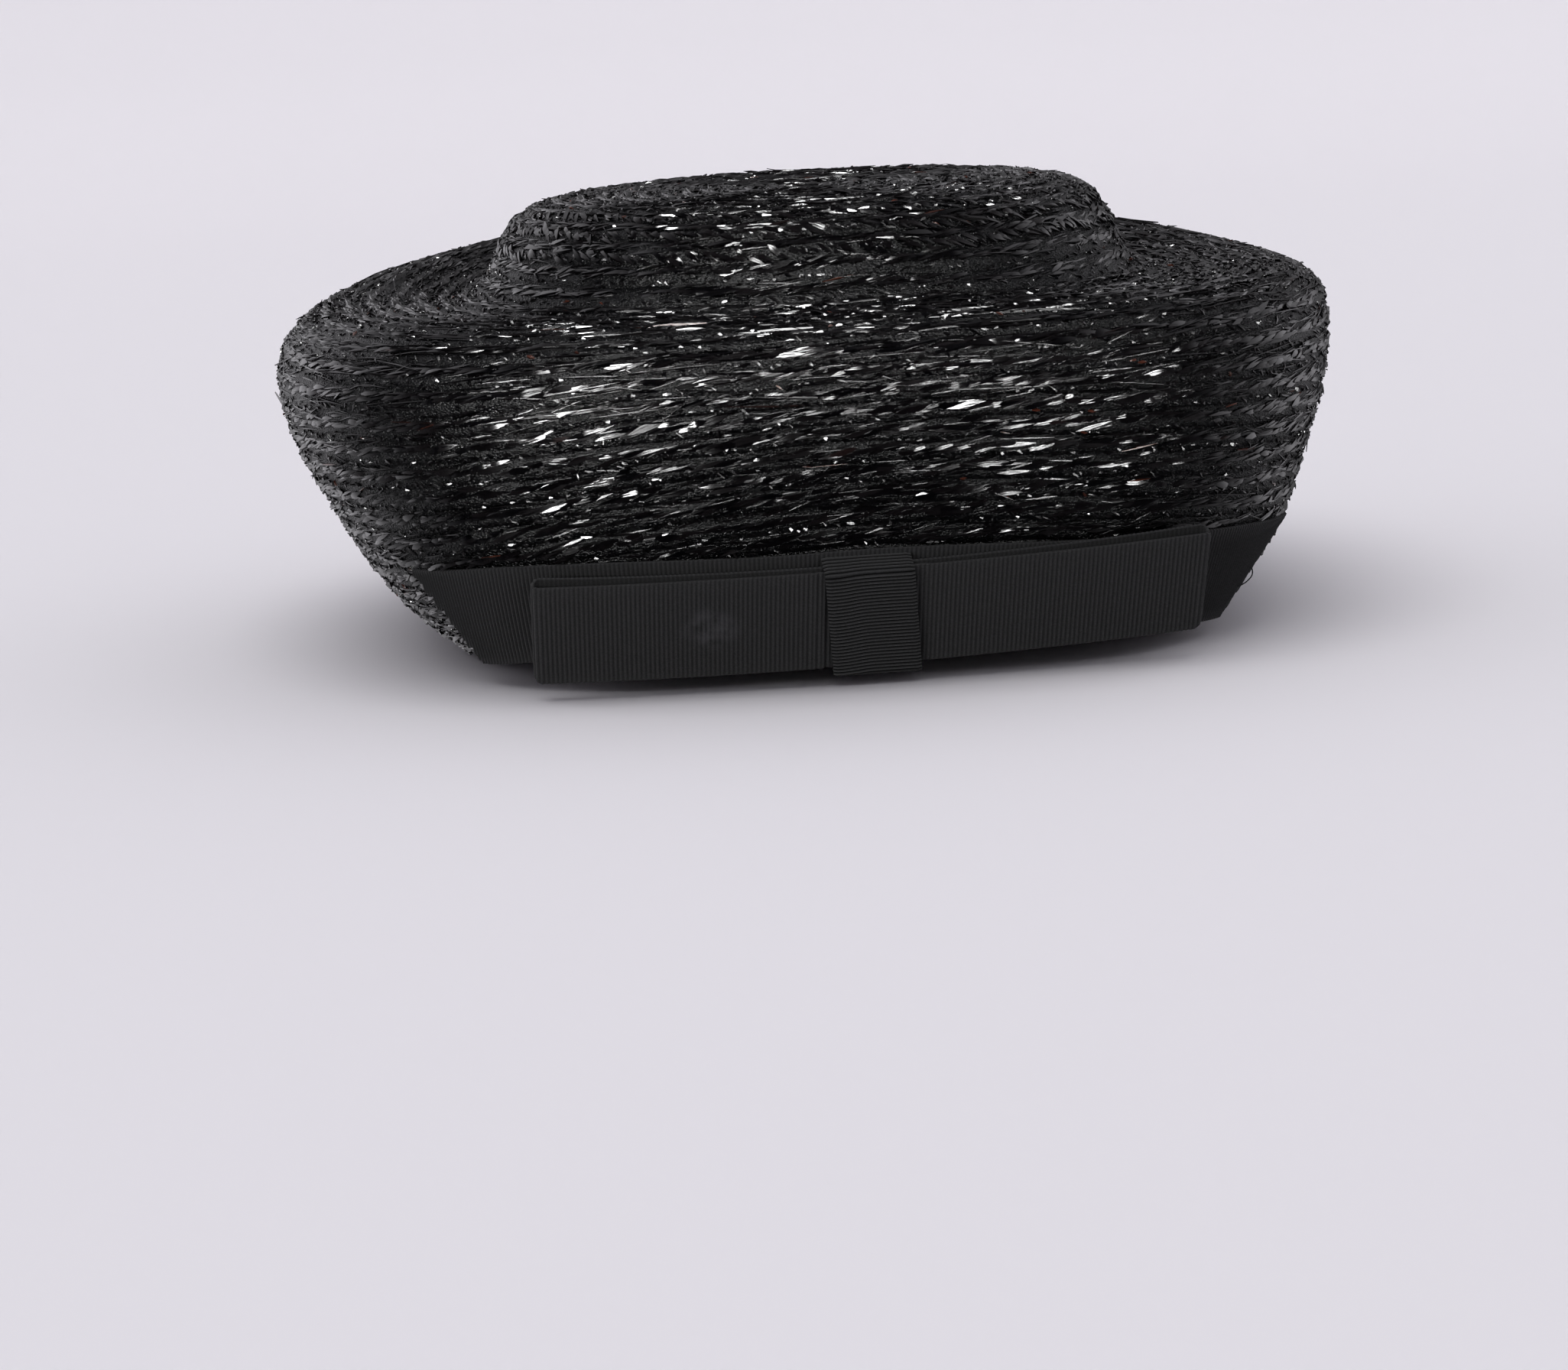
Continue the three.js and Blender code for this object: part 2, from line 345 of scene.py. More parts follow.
def skin_point(azimuth, distance):
    """Points of the skin at azimuths (0 in front, growing to the right) and distances from the rim."""
    a = np.asarray(azimuth) / (2 * math.pi) * DIRECTIONS
    j = np.clip(np.asarray(distance) / STEP, 0, table.shape[1] - 1.001)
    a0, j0 = np.floor(a).astype(int), np.floor(j).astype(int)
    fa, fj = (a - a0)[..., None], (j - j0)[..., None]
    a0, a1 = a0 % DIRECTIONS, (a0 + 1) % DIRECTIONS
    low = table[a0, j0] * (1 - fa) + table[a1, j0] * fa
    high = table[a0, j0 + 1] * (1 - fa) + table[a1, j0 + 1] * fa
    return low * (1 - fj) + high * fj


# %% [markdown]
# ## The rows of plait
# The plait is about 5 mm wide where it shows, so the rows are counted from the rim: up the wall
# to the ridge, over the shelf, up the crown's side and in to its centre. The places where these
# four parts meet are found from the slope of the skin, and each part holds a whole number of
# rows. Near the rim the rows keep an even distance from it, and near the ridge they follow the
# ridge, as on the real hat.

# %% Where the parts of the skin meet
ROW_PITCH = 5.15 * MM
RIDGE_SLOPE, FOOT_SLOPE, BORDER_SLOPE = 135, 150, 152
SMOOTH_WAVES = 12

radius = np.hypot(table[..., 0] - HEART.x, table[..., 1])
rising, widening = (np.gradient(way, axis=1) for way in (table[..., 2], radius))
slope = np.degrees(np.unwrap(np.arctan2(rising, widening), axis=1))
corners = []
for i in range(DIRECTIONS):
    end = int(full_length[i] / STEP) - 4
    ridge = next(j for j in range(20, end) if slope[i, j] > RIDGE_SLOPE)
    foot = next(j for j in range(ridge + 20, end) if slope[i, j] < FOOT_SLOPE)
    border = next(j for j in range(foot + 12, end) if slope[i, j] > BORDER_SLOPE)
    corners.append([ridge * STEP, foot * STEP, border * STEP, full_length[i]])
corners = np.array(corners)
ring = np.fft.rfft(corners, axis=0)
ring[SMOOTH_WAVES:] = 0
corners = np.fft.irfft(ring, DIRECTIONS, axis=0)
corners = np.c_[np.zeros(DIRECTIONS), corners]
counts = np.round(np.diff(corners, axis=1).mean(0) / ROW_PITCH).astype(int)
row_marks = np.r_[0, np.cumsum(counts)]
ROWS = int(row_marks[-1])
print("rows on wall, shelf, crown side and crown top:", counts)


def smooth_step(value, start, end):
    share = np.clip((value - start) / (end - start), 0, 1)
    return share * share * (3 - 2 * share)


def row_distance(azimuth, row):
    """Distance from the rim at which a row number lies."""
    azimuth, row = np.broadcast_arrays(np.asarray(azimuth, float), np.asarray(row, float))
    a = azimuth / (2 * math.pi) * DIRECTIONS
    a0 = np.floor(a).astype(int)
    f = (a - a0)[..., None]
    marks = corners[a0 % DIRECTIONS] * (1 - f) + corners[(a0 + 1) % DIRECTIONS] * f
    part = np.clip(np.searchsorted(row_marks, row, side="right") - 1, 0, 3)
    share = (row - row_marks[part]) / counts[part]
    low = np.take_along_axis(marks, part[..., None], -1)[..., 0]
    high = np.take_along_axis(marks, part[..., None] + 1, -1)[..., 0]
    plain = low + (high - low) * share
    follow = smooth_step(share, 0.45, 1.0)
    return np.where(part == 0, row * ROW_PITCH * (1 - follow) + plain * follow, plain)


def row_frame(azimuth, row):
    """Points on the skin at row numbers, with the directions along the row, up it and out of it."""
    turn, up = 0.012, 0.15
    at = skin_point(azimuth, row_distance(azimuth, row))
    along = skin_point(azimuth + turn, row_distance(azimuth + turn, row))
    along = along - skin_point(azimuth - turn, row_distance(azimuth - turn, row))
    higher, lower = np.minimum(row + up, ROWS - 0.01), np.maximum(row - up, 0)
    across = skin_point(azimuth, row_distance(azimuth, higher))
    across = across - skin_point(azimuth, row_distance(azimuth, lower))
    along /= np.linalg.norm(along, axis=-1, keepdims=True) + 1e-12
    out = np.cross(along, across)
    out /= np.linalg.norm(out, axis=-1, keepdims=True) + 1e-12
    return at, along, np.cross(out, along), out


def wander(azimuth, seed, waves=(3, 5, 8, 13, 21)):
    """A smooth random wave round the hat, between about -1 and 1."""
    dice = np.random.default_rng(seed)
    total = np.zeros(np.shape(azimuth))
    for wave in waves:
        total += dice.normal() * np.sin(wave * azimuth + dice.uniform(0, 6.28))
    return total / math.sqrt(len(waves))


# %% [markdown]
# ## The skin of plait
# Each row bulges by a little over half a millimetre, and both its edges are tucked in beside
# its neighbours. A displaced plane could do this with an image, but a grid whose lines follow
# the rows needs far fewer faces. So a flat grid is added, with 250 columns round the hat and
# five lines for each row, and its points are moved to the skin. Its inner side goes back down
# to the rim, so that the wall is a closed solid.

# %% Ribbon sizes that the straw has to make room for
RIBBON_WIDTH = 25 * MM
BAND_ENDS_LOW = np.radians([-47.5, 50.0])
BAND_ENDS_TOP = np.radians([-50.5, 56.0])
BAND_MIDDLE, BAND_HALF = math.radians(3.1), math.radians(58.9)
TOP_EDGE_MM, RISE_LEFT_MM, RISE_RIGHT_MM = 25.8, 6.8, 3.4


def band_top(azimuth):
    """Distance from the rim to the band's upper edge."""
    share = (azimuth - BAND_MIDDLE) / BAND_HALF
    rise = np.where(share < 0, RISE_LEFT_MM, RISE_RIGHT_MM) * smooth_step(abs(share), 0.15, 0.75)
    return (TOP_EDGE_MM + rise) * MM


def band_looseness(azimuth):
    """From 0, where the band follows the wall, to 1, where it hangs straight from its upper edge."""
    return smooth_step(abs(azimuth - BAND_MIDDLE), math.radians(12), math.radians(32))


def under_band(azimuth, distance, margin=0.0):
    """Whether the band touches a place on the wall."""
    turned = (np.asarray(azimuth) + math.pi) % (2 * math.pi) - math.pi
    share = 1 - (band_top(turned) - distance) / RIBBON_WIDTH
    left = BAND_ENDS_LOW[0] + (BAND_ENDS_TOP[0] - BAND_ENDS_LOW[0]) * share
    right = BAND_ENDS_LOW[1] + (BAND_ENDS_TOP[1] - BAND_ENDS_LOW[1]) * share
    spare = margin / (100 * MM)
    inside = (turned > left - spare) & (turned < right + spare)
    lowest = -0.2 + 0.85 * band_looseness(turned)
    return inside & (share > lowest) & (share < 1 + margin / RIBBON_WIDTH)


# %% Grid helper
def cloth_grid(name, points, closed=False, ribs=None):
    """A grid object with its points at points[i][j]; closed joins those that coincide."""
    count_i, count_j = points.shape[:2]
    bpy.ops.object.select_all(action="DESELECT")
    bpy.ops.mesh.primitive_grid_add(
        x_subdivisions=count_i - 1, y_subdivisions=count_j - 1, size=2, calc_uvs=True
    )
    grid = bpy.context.object
    grid.name = name
    corner = np.zeros(len(grid.data.vertices) * 3)
    grid.data.vertices.foreach_get("co", corner)
    corner = corner.reshape(-1, 3)
    i = np.rint((corner[:, 0] + 1) / 2 * (count_i - 1)).astype(int)
    j = np.rint((corner[:, 1] + 1) / 2 * (count_j - 1)).astype(int)
    grid.data.vertices.foreach_set("co", points[i, j].ravel())
    if ribs is not None:
        heights = grid.data.attributes.new("rib", "FLOAT", "POINT")
        heights.data.foreach_set("value", np.asarray(ribs, float)[i])
    grid.data.update()
    if closed:
        edit_whole(grid, bpy.ops.mesh.remove_doubles, threshold=0.001 * MM)
    bpy.ops.object.shade_smooth()
    return grid


# %% Lapped rows of the skin
COLUMNS = 250
LAP_PLACES = np.array([0.0, 0.08, 0.34, 0.70, 0.96])
LAP_HEIGHTS = np.array([-0.32, 0.12, 0.30, 0.06, -0.34]) * MM
WALL_THICKNESS = 2.2 * MM


def lap_height(share):
    return np.interp(share, LAP_PLACES, LAP_HEIGHTS)


def row_wobble(azimuth, row):
    """Rows aren't laid perfectly: each one strays a little from its place."""
    strays = [0.07 * wander(azimuth, 100 + k) for k in range(ROWS + 1)]
    strays = np.array([s if 0 < k < ROWS - 2 else s * 0 for k, s in enumerate(strays)])
    k = np.clip(np.floor(row).astype(int), 0, ROWS - 1)
    share = row - k
    columns = np.arange(len(azimuth))
    return strays[k, columns] * (1 - share) + strays[k + 1, columns] * share


ring_azimuths = np.linspace(0, 2 * math.pi, COLUMNS + 1)
outer = []
for k in range(ROWS):
    for share, height in zip(LAP_PLACES, LAP_HEIGHTS):
        row = np.full(COLUMNS + 1, min(k + share, ROWS - 0.02))
        strayed = row + row_wobble(ring_azimuths, row)
        at, _, _, out = row_frame(ring_azimuths, np.clip(strayed, 0, ROWS - 0.02))
        lift = height + 0.12 * MM * wander(ring_azimuths, 300 + k)
        flat = under_band(ring_azimuths, row_distance(ring_azimuths, row), 1.0 * MM)
        lift = np.where(flat, np.minimum(lift, -0.25 * MM), lift)
        outer.append(at + out * lift[:, None])
outer.append(np.repeat(skin_point(np.zeros(1), np.array([1.0])), COLUMNS + 1, axis=0))
inner = []
for row in np.arange(0, ROWS, 0.5):
    rows = np.full(COLUMNS + 1, row)
    at, _, _, out = row_frame(ring_azimuths, rows)
    depth = WALL_THICKNESS + (0.3 * MM if row % 1 else 0) - (0.5 * MM if row == 0 else 0)
    inner.append(at - out * depth)
inner.append(outer[-1] - np.array([0, 0, WALL_THICKNESS]))
loops = np.array(outer[::-1] + inner)
loops[:, -1] = loops[:, 0]
plait_skin = cloth_grid("plait_skin", loops.transpose(1, 0, 2), closed=True)
edit_whole(plait_skin, bpy.ops.mesh.normals_make_consistent, inside=False)
print("skin of plait:", len(plait_skin.data.polygons), "faces")

# %% [markdown]
# ## The strands
# What catches the light are the strands of the plait: flat slivers of straw, about 6 mm long
# where they show, that slant across each row. At the row's outer edge the strands turn back and
# show as short knots. Each kind is modelled once, as a cube that is cut along its length and
# pinched towards its ends. Geometry Nodes then puts a copy at each point of a cloud, and the
# cloud carries how each copy is turned, how big it is and how it is tinted.

# %% Model one sliver
def model_sliver(name, cuts, widths, heights):
    bpy.ops.object.select_all(action="DESELECT")
    bpy.ops.mesh.primitive_cube_add(size=1.0)
    sliver = bpy.context.object
    sliver.name = name
    bpy.ops.object.mode_set(mode="EDIT")
    bpy.ops.mesh.select_mode(type="EDGE")
    bpy.ops.mesh.select_all(action="DESELECT")
    bpy.ops.object.mode_set(mode="OBJECT")
    for edge in sliver.data.edges:
        a, b = (sliver.data.vertices[v].co for v in edge.vertices)
        edge.select = abs(a.x - b.x) > 0.5
    bpy.ops.object.mode_set(mode="EDIT")
    bpy.ops.mesh.subdivide(number_cuts=cuts)
    bpy.ops.object.mode_set(mode="OBJECT")
    for vertex in sliver.data.vertices:
        place = vertex.co.x + 0.5
        steps = np.linspace(0, 1, cuts + 2)
        width = float(np.interp(place, steps, widths))
        height = float(np.interp(place, steps, heights))
        top = vertex.co.z > 0
        vertex.co.y *= width * (0.78 if top else 1.0)
        vertex.co.z = height if top else -0.6
    across = sliver.data.uv_layers[0]
    for loop in sliver.data.loops:
        at = sliver.data.vertices[loop.vertex_index].co
        across.data[loop.index].uv = (at.x + 0.5, at.y + 0.5)
    return sliver


strand = model_sliver("strand", 2, [0.14, 1.0, 0.85, 0.1], [-0.3, 1.0, 0.85, -0.3])
knot_end = model_sliver("knot_end", 1, [0.45, 1.0, 0.4], [0.0, 1.0, -0.1])
fibre = model_sliver("fibre", 1, [0.3, 1.0, 0.15], [0.2, 1.0, 0.0])
print("faces of a strand, knot end and fibre:", [len(m.data.polygons) for m in (strand, knot_end, fibre)])

# %% Scatter copies over a cloud of points
def euler_of(x_axis, y_axis, z_axis):
    """Turns, as XYZ angles, that bring the axes to these directions."""
    pitch = np.arcsin(np.clip(-x_axis[:, 2], -1, 1))
    roll = np.arctan2(y_axis[:, 2], z_axis[:, 2])
    yaw = np.arctan2(x_axis[:, 1], x_axis[:, 0])
    return np.stack([roll, pitch, yaw], -1)


def scatter(name, model, places, turns, sizes, tints):
    cloud = bpy.data.meshes.new(name)
    cloud.vertices.add(len(places))
    cloud.vertices.foreach_set("co", places.ravel())
    for label, kind, values in (
        ("turn", "FLOAT_VECTOR", turns), ("size", "FLOAT_VECTOR", sizes), ("tint", "FLOAT", tints),
    ):
        field = "vector" if kind == "FLOAT_VECTOR" else "value"
        cloud.attributes.new(label, kind, "POINT").data.foreach_set(field, values.ravel())
    piece = bpy.data.objects.new(name, cloud)
    bpy.context.scene.collection.objects.link(piece)

    tree = bpy.data.node_groups.new(name + "_copies", "GeometryNodeTree")
    tree.interface.new_socket("Geometry", in_out="INPUT", socket_type="NodeSocketGeometry")
    tree.interface.new_socket("Geometry", in_out="OUTPUT", socket_type="NodeSocketGeometry")
    add = tree.nodes.new
    start, end = add("NodeGroupInput"), add("NodeGroupOutput")
    copies, solid = add("GeometryNodeInstanceOnPoints"), add("GeometryNodeRealizeInstances")
    source, turn, size = (
        add("GeometryNodeObjectInfo"),
        add("GeometryNodeInputNamedAttribute"),
        add("GeometryNodeInputNamedAttribute"),
    )
    angles = add("FunctionNodeEulerToRotation")
    set_up(source, Object=model)
    set_up(turn, data_type="FLOAT_VECTOR", Name="turn")
    set_up(size, data_type="FLOAT_VECTOR", Name="size")
    join(
        tree.links,
        (start, 0, copies, "Points"),
        (source, "Geometry", copies, "Instance"),
        (turn, "Attribute", angles, "Euler"),
        (angles, "Rotation", copies, "Rotation"),
        (size, "Attribute", copies, "Scale"),
        (copies, "Instances", solid, "Geometry"),
        (solid, "Geometry", end, 0),
    )
    modifier = piece.modifiers.new("copies", "NODES")
    modifier.node_group = tree
    pick(piece)
    bpy.ops.object.modifier_apply(modifier="copies")
    piece.data.shade_smooth()
    bpy.ops.object.shade_smooth_by_angle(angle=math.radians(32))
    return piece


# %% Places of the strands
def ring_places(row, spacing, jitter, dice):
    """Azimuths of equal steps along a row."""
    turns = np.linspace(0, 2 * math.pi, 361)
    line = skin_point(turns, row_distance(turns, np.full(361, row)))
    run = np.r_[0, np.cumsum(np.linalg.norm(np.diff(line, axis=0), axis=1))]
    count = max(5, int(round(run[-1] / spacing)))
    steps = (np.arange(count) + dice.uniform() + dice.normal(0, jitter, count)) * run[-1] / count
    return np.interp(steps % run[-1], run, turns)


def lay(row, seed, share, spacing, slant, length, width, thickness, lean=12, tip=0,
        share_spread=0.1, slant_spread=7, lean_spread=15, tip_spread=4):
    """Copies along one row: their places, turns, sizes and tints."""
    dice = np.random.default_rng(seed)
    azimuth = ring_places(row + share, spacing, 0.25, dice)
    count = len(azimuth)
    shares = np.clip(share + dice.normal(0, share_spread, count), 0.02, 0.97)
    rows = np.minimum(row + shares, ROWS - 0.05)
    rows = np.clip(rows + row_wobble(azimuth, rows), 0.02, ROWS - 0.05)
    keep = ~under_band(azimuth, row_distance(azimuth, rows), 0.4 * MM)
    azimuth, rows, shares = azimuth[keep], rows[keep], shares[keep]
    count = len(azimuth)
    at, along, across, out = row_frame(azimuth, rows)
    slants = np.radians(dice.normal(slant, slant_spread, count))[:, None]
    leans = np.radians(dice.normal(lean, lean_spread, count))[:, None]
    tips = np.radians(dice.normal(tip, tip_spread, count))[:, None]
    tilted = out * np.cos(leans) + across * np.sin(leans)
    x = along * np.cos(slants) + across * np.sin(slants)
    x = x - tilted * np.sum(x * tilted, -1, keepdims=True)
    x /= np.linalg.norm(x, axis=-1, keepdims=True)
    y = np.cross(tilted, x)
    x = x * np.cos(tips) + tilted * np.sin(tips)
    z = np.cross(x, y)
    lift = lap_height(shares) + 0.14 * MM + dice.normal(0, 0.12 * MM, count)
    places = at + out * lift[:, None]
    places = places + x * (length * 0.45 * (abs(np.radians(tip)) > 0.1))
    sizes = np.stack([
        length * np.exp(dice.normal(0, 0.22, count)),
        width * np.exp(dice.normal(0, 0.30, count)),
        np.full(count, thickness),
    ], -1)
    return places, euler_of(x, y, z), sizes, dice.uniform(0, 0.99 if width > 0.8 * MM else 1, count)


def lay_rows(name, model, rows, seed, **how):
    """One piece of all the copies in some rows."""
    parts = [lay(row, seed + 7 * row, **how) for row in rows]
    piece = scatter(name, model, *(np.concatenate(p) for p in zip(*parts)))
    triangles = sum(len(p.vertices) - 2 for p in piece.data.polygons)
    print(name, len(piece.data.polygons) // len(model.data.polygons), "copies,", triangles, "triangles")
    return piece


# %% Rows of the four areas
wall_end, shelf_end, side_end, _ = (int(m) for m in row_marks[1:])
AREAS = {
    "lower_wall": range(0, wall_end // 2),
    "upper_wall": range(wall_end // 2, wall_end),
    "shelf": range(wall_end, shelf_end),
    "crown_side": range(shelf_end, side_end),
    "crown_top": range(side_end, ROWS - 1),
}
STRANDS = dict(
    share=0.62, spacing=1.75 * MM, slant=9, length=6.2 * MM, width=0.98 * MM, thickness=0.24 * MM,
    slant_spread=5, lean_spread=14, tip_spread=4.5,
)
KNOT_ENDS = dict(
    share=0.17, spacing=1.80 * MM, slant=-20, length=1.6 * MM, width=0.50 * MM, thickness=0.26 * MM,
    lean=0, share_spread=0.09, slant_spread=26, lean_spread=28, tip_spread=12,
)
FIBRES = dict(
    share=0.80, spacing=2.5 * MM, slant=6, length=6.5 * MM, width=0.34 * MM, thickness=0.24 * MM,
    share_spread=0.20, slant_spread=7, lean_spread=18, tip_spread=3,
)
straw_pieces = [plait_skin]
for area, rows in AREAS.items():
    straw_pieces.append(lay_rows("strands_" + area, strand, rows, 1000, **STRANDS))
    straw_pieces.append(lay_rows("knot_ends_" + area, knot_end, rows, 5000, **KNOT_ENDS))
    straw_pieces.append(lay_rows("fibres_" + area, fibre, rows, 9000, **FIBRES))

# %% [markdown]
# ## Leaves on the crown's edge, and stray straw
# Where the crown turns over, the plait shows both of its halves, so its strands make a row of
# arrow heads. Long fibres run along the ridge, and handling has pulled some short ones loose,
# which stand up a little at one end and break the outline.

# %% Arrow heads and stray fibres
LEAVES = dict(
    share=0.22, spacing=1.9 * MM, slant=-30, length=4.4 * MM, width=1.1 * MM, thickness=0.30 * MM,
    lean=4, lean_spread=14,
)
STRAYS = dict(
    share=0.5, spacing=38 * MM, slant=5, length=5.0 * MM, width=0.24 * MM, thickness=0.20 * MM,
    tip=5, share_spread=0.3, slant_spread=25, lean_spread=20, tip_spread=4,
)
LONG_FIBRES = dict(
    share=0.5, spacing=13 * MM, slant=2, length=15 * MM, width=0.24 * MM, thickness=0.34 * MM,
    lean=0, share_spread=0.3, slant_spread=5, lean_spread=20, tip_spread=1.2,
)
straw_pieces.append(lay_rows("leaves_crown", strand, range(side_end - 2, side_end + 1), 21000, **LEAVES))
straw_pieces.append(lay_rows("strays", fibre, range(2, side_end + 3), 25000, **STRAYS))
ridge_rows = range(wall_end - 3, wall_end + 3)
straw_pieces.append(lay_rows("long_fibres", fibre, ridge_rows, 31000, **LONG_FIBRES))
straw_pieces.append(lay_rows("more_long_fibres", fibre, ridge_rows, 37000, **LONG_FIBRES))
for model in (strand, knot_end, fibre):
    bpy.data.objects.remove(model)

# %% [markdown]
# ## Black glossy straw
# The strands are smooth and almost black, with fine lines along them. The lines are a noise
# that is stretched along each sliver's own UV map, used as a slight bump. Roughness varies a
# little from strand to strand, so that some mirror the lamps sharply and some only gleam. A few
# thin slivers are a reddish brown. The skin behind them has a strong, uneven bump instead, so
# that it only sparkles here and there.

# %% Straw materials
def straw_material(name, fine_lines):
    if fine_lines:
        mapped_by, stretched, fineness = "UV", (0.55, 2.8, 1.0), 1.6
        bump_depth, bump_strength = 0.05 * MM, 0.6
        specular, smoothest, roughest = 0.5, 0.06, 0.19
    else:
        mapped_by, stretched, fineness = "Object", (1500, 1500, 3200), 1.0
        bump_depth, bump_strength = 0.5 * MM, 1.0
        specular, smoothest, roughest = 0.17, 0.16, 0.34
    material = bpy.data.materials.new(name)
    material.use_nodes = True
    nodes, links = material.node_tree.nodes, material.node_tree.links
    shader = set_up(nodes["Principled BSDF"], IOR=1.5, Specular_IOR_Level=specular)
    tint = new_node(nodes, "Attribute", attribute_name="tint")
    colours = new_node(nodes, "ValToRGB")
    colours.color_ramp.elements[0].color = (0.0015, 0.0015, 0.002, 1)
    colours.color_ramp.elements[1].color = (0.006, 0.0045, 0.005, 1)
    colours.color_ramp.elements[1].position = 0.99
    if fine_lines:
        brown = colours.color_ramp.elements.new(0.9955)
        brown.color = (0.09, 0.024, 0.012, 1)
    place = new_node(nodes, "TexCoord")
    stretch = new_node(nodes, "Mapping", Scale=stretched)
    noise = new_node(nodes, "TexNoise", Scale=fineness, Detail=2.0)
    bump = new_node(nodes, "Bump", Distance=bump_depth, Strength=bump_strength)
    gloss = new_node(nodes, "MapRange", To_Min=smoothest, To_Max=roughest)
    join(
        links,
        (tint, "Fac", colours, "Fac"),
        (colours, "Color", shader, "Base Color"),
        (place, mapped_by, stretch, "Vector"),
        (stretch, "Vector", noise, "Vector"),
        (noise, "Fac", bump, "Height"),
        (bump, "Normal", shader, "Normal"),
        (tint if fine_lines else noise, "Fac", gloss, "Value"),
        (gloss, "Result", shader, "Roughness"),
    )
    return material


strand_finish = straw_material("straw_strands", True)
skin_finish = straw_material("straw_plait", False)
for piece in straw_pieces:
    piece.data.materials.clear()
    piece.data.materials.append(skin_finish if piece is plait_skin else strand_finish)
    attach(piece, "root")
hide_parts("straw_body")

# %% [markdown]
# ## The grosgrain band
# Grosgrain is a ribbon with raised ribs across it, a little under a millimetre apart, and the
# ribs are easily seen on black. So they are real relief here: the band is a grid with four
# columns for each rib. The ribs hang nearly upright on the wall while the ends of the ribbon are
# cut on a slant across them, so each rib stops at its own place and the ends are toothed.
# Towards its ends the ribbon leaves the wall and hangs straight from its upper edge.

# %% Ribbon helpers
RIB_PITCH = 0.90 * MM
RIB_RELIEF = 0.15 * MM
RIB_STEPS = np.array([1.0, 0.15, -1.0, 0.15])
RIBBON_THICKNESS = 0.5 * MM


def rib_fade(to_edge):
    """Ribs are lower close to the ribbon's edges."""
    return np.minimum(1.0, 0.35 + to_edge / (1.2 * MM))


def rib_heights(rows):
    return [RIB_STEPS[k % 4] for k in range(len(rows))]


def thicken(obj, thickness):
    """Gives a sheet its thickness behind its outer face."""
    pick(obj)
    solid = obj.modifiers.new("thickness", "SOLIDIFY")
    solid.thickness = thickness
    solid.offset = -1.0
    bpy.ops.object.modifier_apply(modifier="thickness")
    obj.data.shade_smooth()
    bpy.ops.object.shade_smooth_by_angle(angle=math.radians(55))


def skin_normal(azimuth, distance):
    round_it = skin_point(azimuth + 0.02, distance) - skin_point(azimuth - 0.02, distance)
    up_it = skin_point(azimuth, distance + 1.5 * MM) - skin_point(azimuth, distance - 1.5 * MM)
    out = np.cross(round_it, up_it)
    return out / np.linalg.norm(out, axis=-1, keepdims=True)


def turn_to_front(obj):
    """Turns a sheet's faces over where they point away from the front."""
    if obj.data.polygons[len(obj.data.polygons) // 2].normal.y > 0:
        edit_whole(obj, bpy.ops.mesh.flip_normals)


# %% Band
BAND_ACROSS = 12
BAND_STAND_OFF = 1.0 * MM
BAND_LEAN = math.radians(56.5)
RIB_LEAN = 0.30
CLEAR_FROM, CLEAR_OVER, CLEARANCE = math.radians(44), math.radians(6), 0.3 * MM


def band_point(azimuth, share):
    """A point of the ribbon's middle, from share 0 at its lower edge to 1 at its upper one."""
    azimuth, share = np.broadcast_arrays(np.asarray(azimuth, float), np.asarray(share, float))
    below = (1 - share) * RIBBON_WIDTH
    top = skin_point(azimuth, band_top(azimuth))
    wall = skin_point(azimuth, band_top(azimuth) - below)
    inwards = math.cos(BAND_LEAN)
    down = np.stack([
        -np.sin(azimuth) * inwards, np.cos(azimuth) * inwards, np.full(azimuth.shape, -math.sin(BAND_LEAN))
    ], -1)
    loose = band_looseness(azimuth)[..., None]
    return wall * (1 - loose) + (top + down * below[..., None]) * loose


def band_normal(azimuth, share):
    out = np.cross(
        band_point(azimuth + 0.02, share) - band_point(azimuth - 0.02, share),
        band_point(azimuth, share + 0.05) - band_point(azimuth, share - 0.05),
    )
    return out / np.linalg.norm(out, axis=-1, keepdims=True)


def sideways(azimuth, share):
    """Where a rib stands: ribs hang nearly upright, with a slight fan."""
    across = band_point(azimuth, share)[..., 0] - HEART.x
    return (1 - RIB_LEAN) * across + RIB_LEAN * 100 * MM * azimuth


# %% Ribs of the band
fan = np.linspace(-1.15, 1.15, 461)
edge_azimuths = np.linspace(BAND_ENDS_TOP[0], BAND_ENDS_TOP[1], 900)
edge_line = band_point(edge_azimuths, np.ones(900))
edge_run = np.r_[0, np.cumsum(np.linalg.norm(np.diff(edge_line, axis=0), axis=1))]
band_length = float(edge_run[-1])
rib_count = int(band_length / RIB_PITCH)
steps = (np.arange(rib_count * 4) + 0.5) * band_length / (rib_count * 4)
places = np.interp(steps, edge_run, sideways(edge_azimuths, np.ones(900)))

